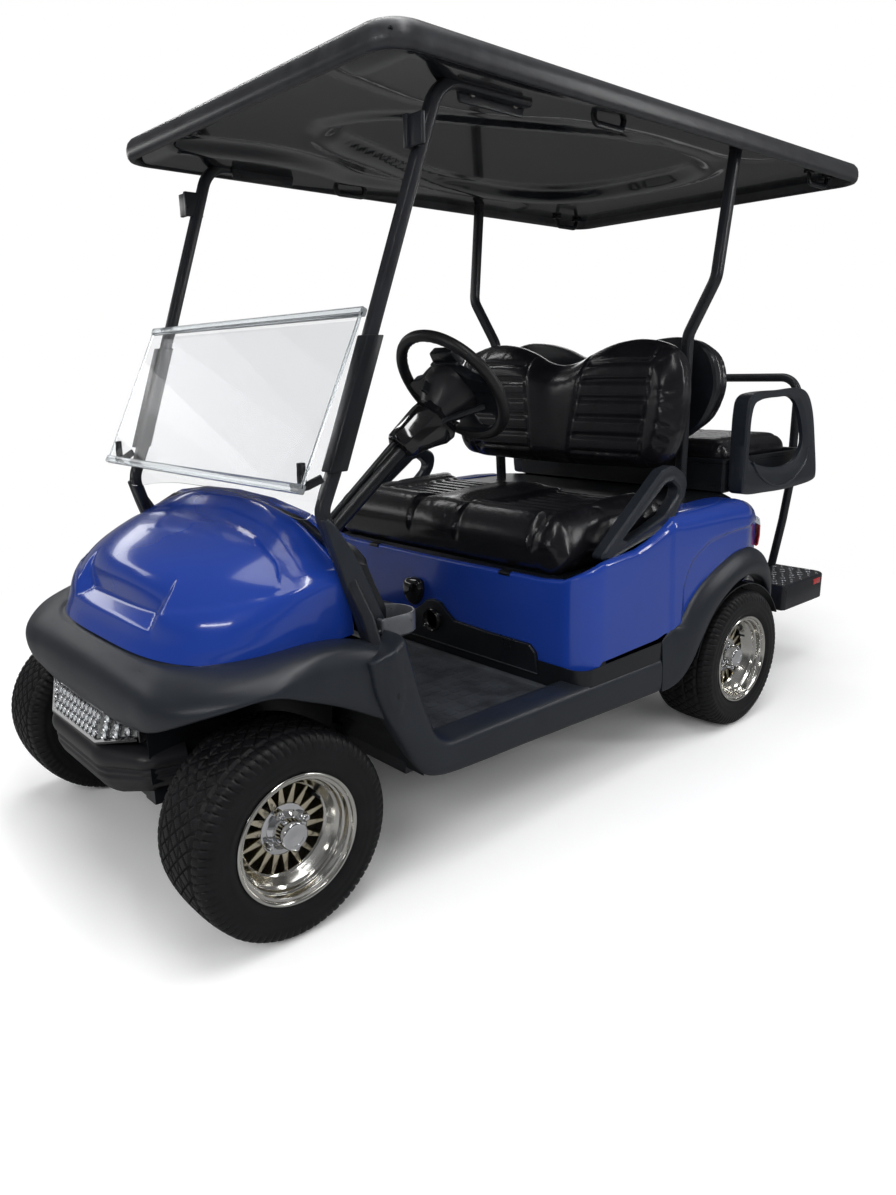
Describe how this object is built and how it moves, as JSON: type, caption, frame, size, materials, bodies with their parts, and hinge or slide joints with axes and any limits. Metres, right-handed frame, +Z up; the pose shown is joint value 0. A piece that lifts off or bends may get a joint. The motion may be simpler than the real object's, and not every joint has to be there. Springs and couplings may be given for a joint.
{
  "type": "golf cart",
  "caption": "Electric golf cart with a full roof, folding windscreen, front bench, rear-facing seat with armrests, foot plate and hoop grab bar.",
  "frame": {"origin": "centre of the footprint box on the ground, under the middle of the vehicle", "axes": "+Y towards the rear of the vehicle, so the front faces -Y; +X to the vehicle's left; +Z up"},
  "size_m": [1.257, 2.785, 1.79],
  "materials": {
    "cowl_blue": "gloss",
    "grey_plastic": "satin",
    "black_plastic": "matte",
    "black_steel": "satin",
    "roof_black": "gloss",
    "vinyl": "gloss",
    "tyre": "matte",
    "rim": "polished",
    "steel": "satin",
    "glass": "clear",
    "mat_rubber": "matte",
    "lamp": "gloss",
    "red_lens": "gloss",
    "battery": "matte"
  },
  "bodies": {
    "chassis": {"battery_pack": "battery", "canopy": "roof_black", "charge_port": "black_plastic", "dash_panel": "black_plastic", "floor_mat": "mat_rubber", "floor_pan": "black_plastic", "foot_plate": "black_steel", "frame_rails": "black_steel", "front_axle": "black_steel", "front_bumper": "black_plastic", "front_cowl": "cowl_blue", "front_fascia": "grey_plastic", "front_seat_back": "vinyl", "front_struts": "black_steel", "grab_bar": "black_steel", "headlight_bar": "lamp", "hip_rails": "black_steel", "kick_panel": "black_plastic", "leaf_springs": "black_steel", "plate_frame": "black_steel", "rear_arms": "grey_plastic", "rear_axle": "steel", "rear_body": "cowl_blue", "rear_flares": "grey_plastic", "rear_seat_back": "vinyl", "rear_seat_base": "black_plastic", "rear_seat_cushion": "vinyl", "rear_struts": "black_steel", "rockers": "grey_plastic", "screen_channels": "black_plastic", "seat_back_frame": "black_steel", "shift_knob": "black_plastic", "steering_column": "black_plastic", "tail_lights": "red_lens", "windshield_lower": "glass", "windshield_rails": "glass", "windshield_upper": "glass"},
    "knuckle_left": {"knuckle_left": "steel"},
    "knuckle_right": {"knuckle_right": "steel"},
    "track_rod": {"track_rod": "steel"},
    "steering_wheel": {"steering_wheel": "black_plastic"},
    "wheel_front_left": {"tyre_front_left": "tyre", "rim_front_left": "rim"},
    "wheel_front_right": {"tyre_front_right": "tyre", "rim_front_right": "rim"},
    "wheel_rear_left": {"tyre_rear_left": "tyre", "rim_rear_left": "rim"},
    "wheel_rear_right": {"tyre_rear_right": "tyre", "rim_rear_right": "rim"},
    "front_seat": {"seat_pan": "black_plastic", "front_seat_cushion": "vinyl"}
  },
  "joints": [
    {"name": "steer_left", "type": "hinge", "parent": "chassis", "child": "knuckle_left", "pos_m": [0.405, -1.1525, 0.2295], "axis": [0, 0, 1], "range_deg": [-28, 28]},
    {"name": "steer_right", "type": "hinge", "parent": "chassis", "child": "knuckle_right", "pos_m": [-0.405, -1.1525, 0.2295], "axis": [0, 0, 1], "range_deg": [-28, 28]},
    {"name": "rod_shift", "type": "slide", "parent": "chassis", "child": "track_rod", "axis": [1, 0, 0], "range_m": [-0.0375, 0.0375]},
    {"name": "steering_turn", "type": "hinge", "parent": "chassis", "child": "steering_wheel", "pos_m": [0.24, -0.4075, 1.112], "axis": [0, 0.7826, 0.6225], "range_deg": [-420, 420]},
    {"name": "spin_front_left", "type": "hinge", "parent": "knuckle_left", "child": "wheel_front_left", "pos_m": [0.477, -1.1525, 0.2295], "axis": [1, 0, 0], "continuous": true},
    {"name": "spin_front_right", "type": "hinge", "parent": "knuckle_right", "child": "wheel_front_right", "pos_m": [-0.477, -1.1525, 0.2295], "axis": [1, 0, 0], "continuous": true},
    {"name": "spin_rear_left", "type": "hinge", "parent": "chassis", "child": "wheel_rear_left", "pos_m": [0.526, 0.5115, 0.2295], "axis": [1, 0, 0], "continuous": true},
    {"name": "spin_rear_right", "type": "hinge", "parent": "chassis", "child": "wheel_rear_right", "pos_m": [-0.526, 0.5115, 0.2295], "axis": [1, 0, 0], "continuous": true},
    {"name": "seat_tilt", "type": "hinge", "parent": "chassis", "child": "front_seat", "pos_m": [0, -0.2685, 0.596], "axis": [1, 0, 0], "range_deg": [0, 45]}
  ],
  "couplings": [
    {"joint": "steer_right", "follows": "steer_left", "ratio": 1},
    {"joint": "rod_shift", "follows": "steer_left", "m_per_rad": -0.072},
    {"joint": "steering_turn", "follows": "steer_left", "ratio": 15}
  ]
}
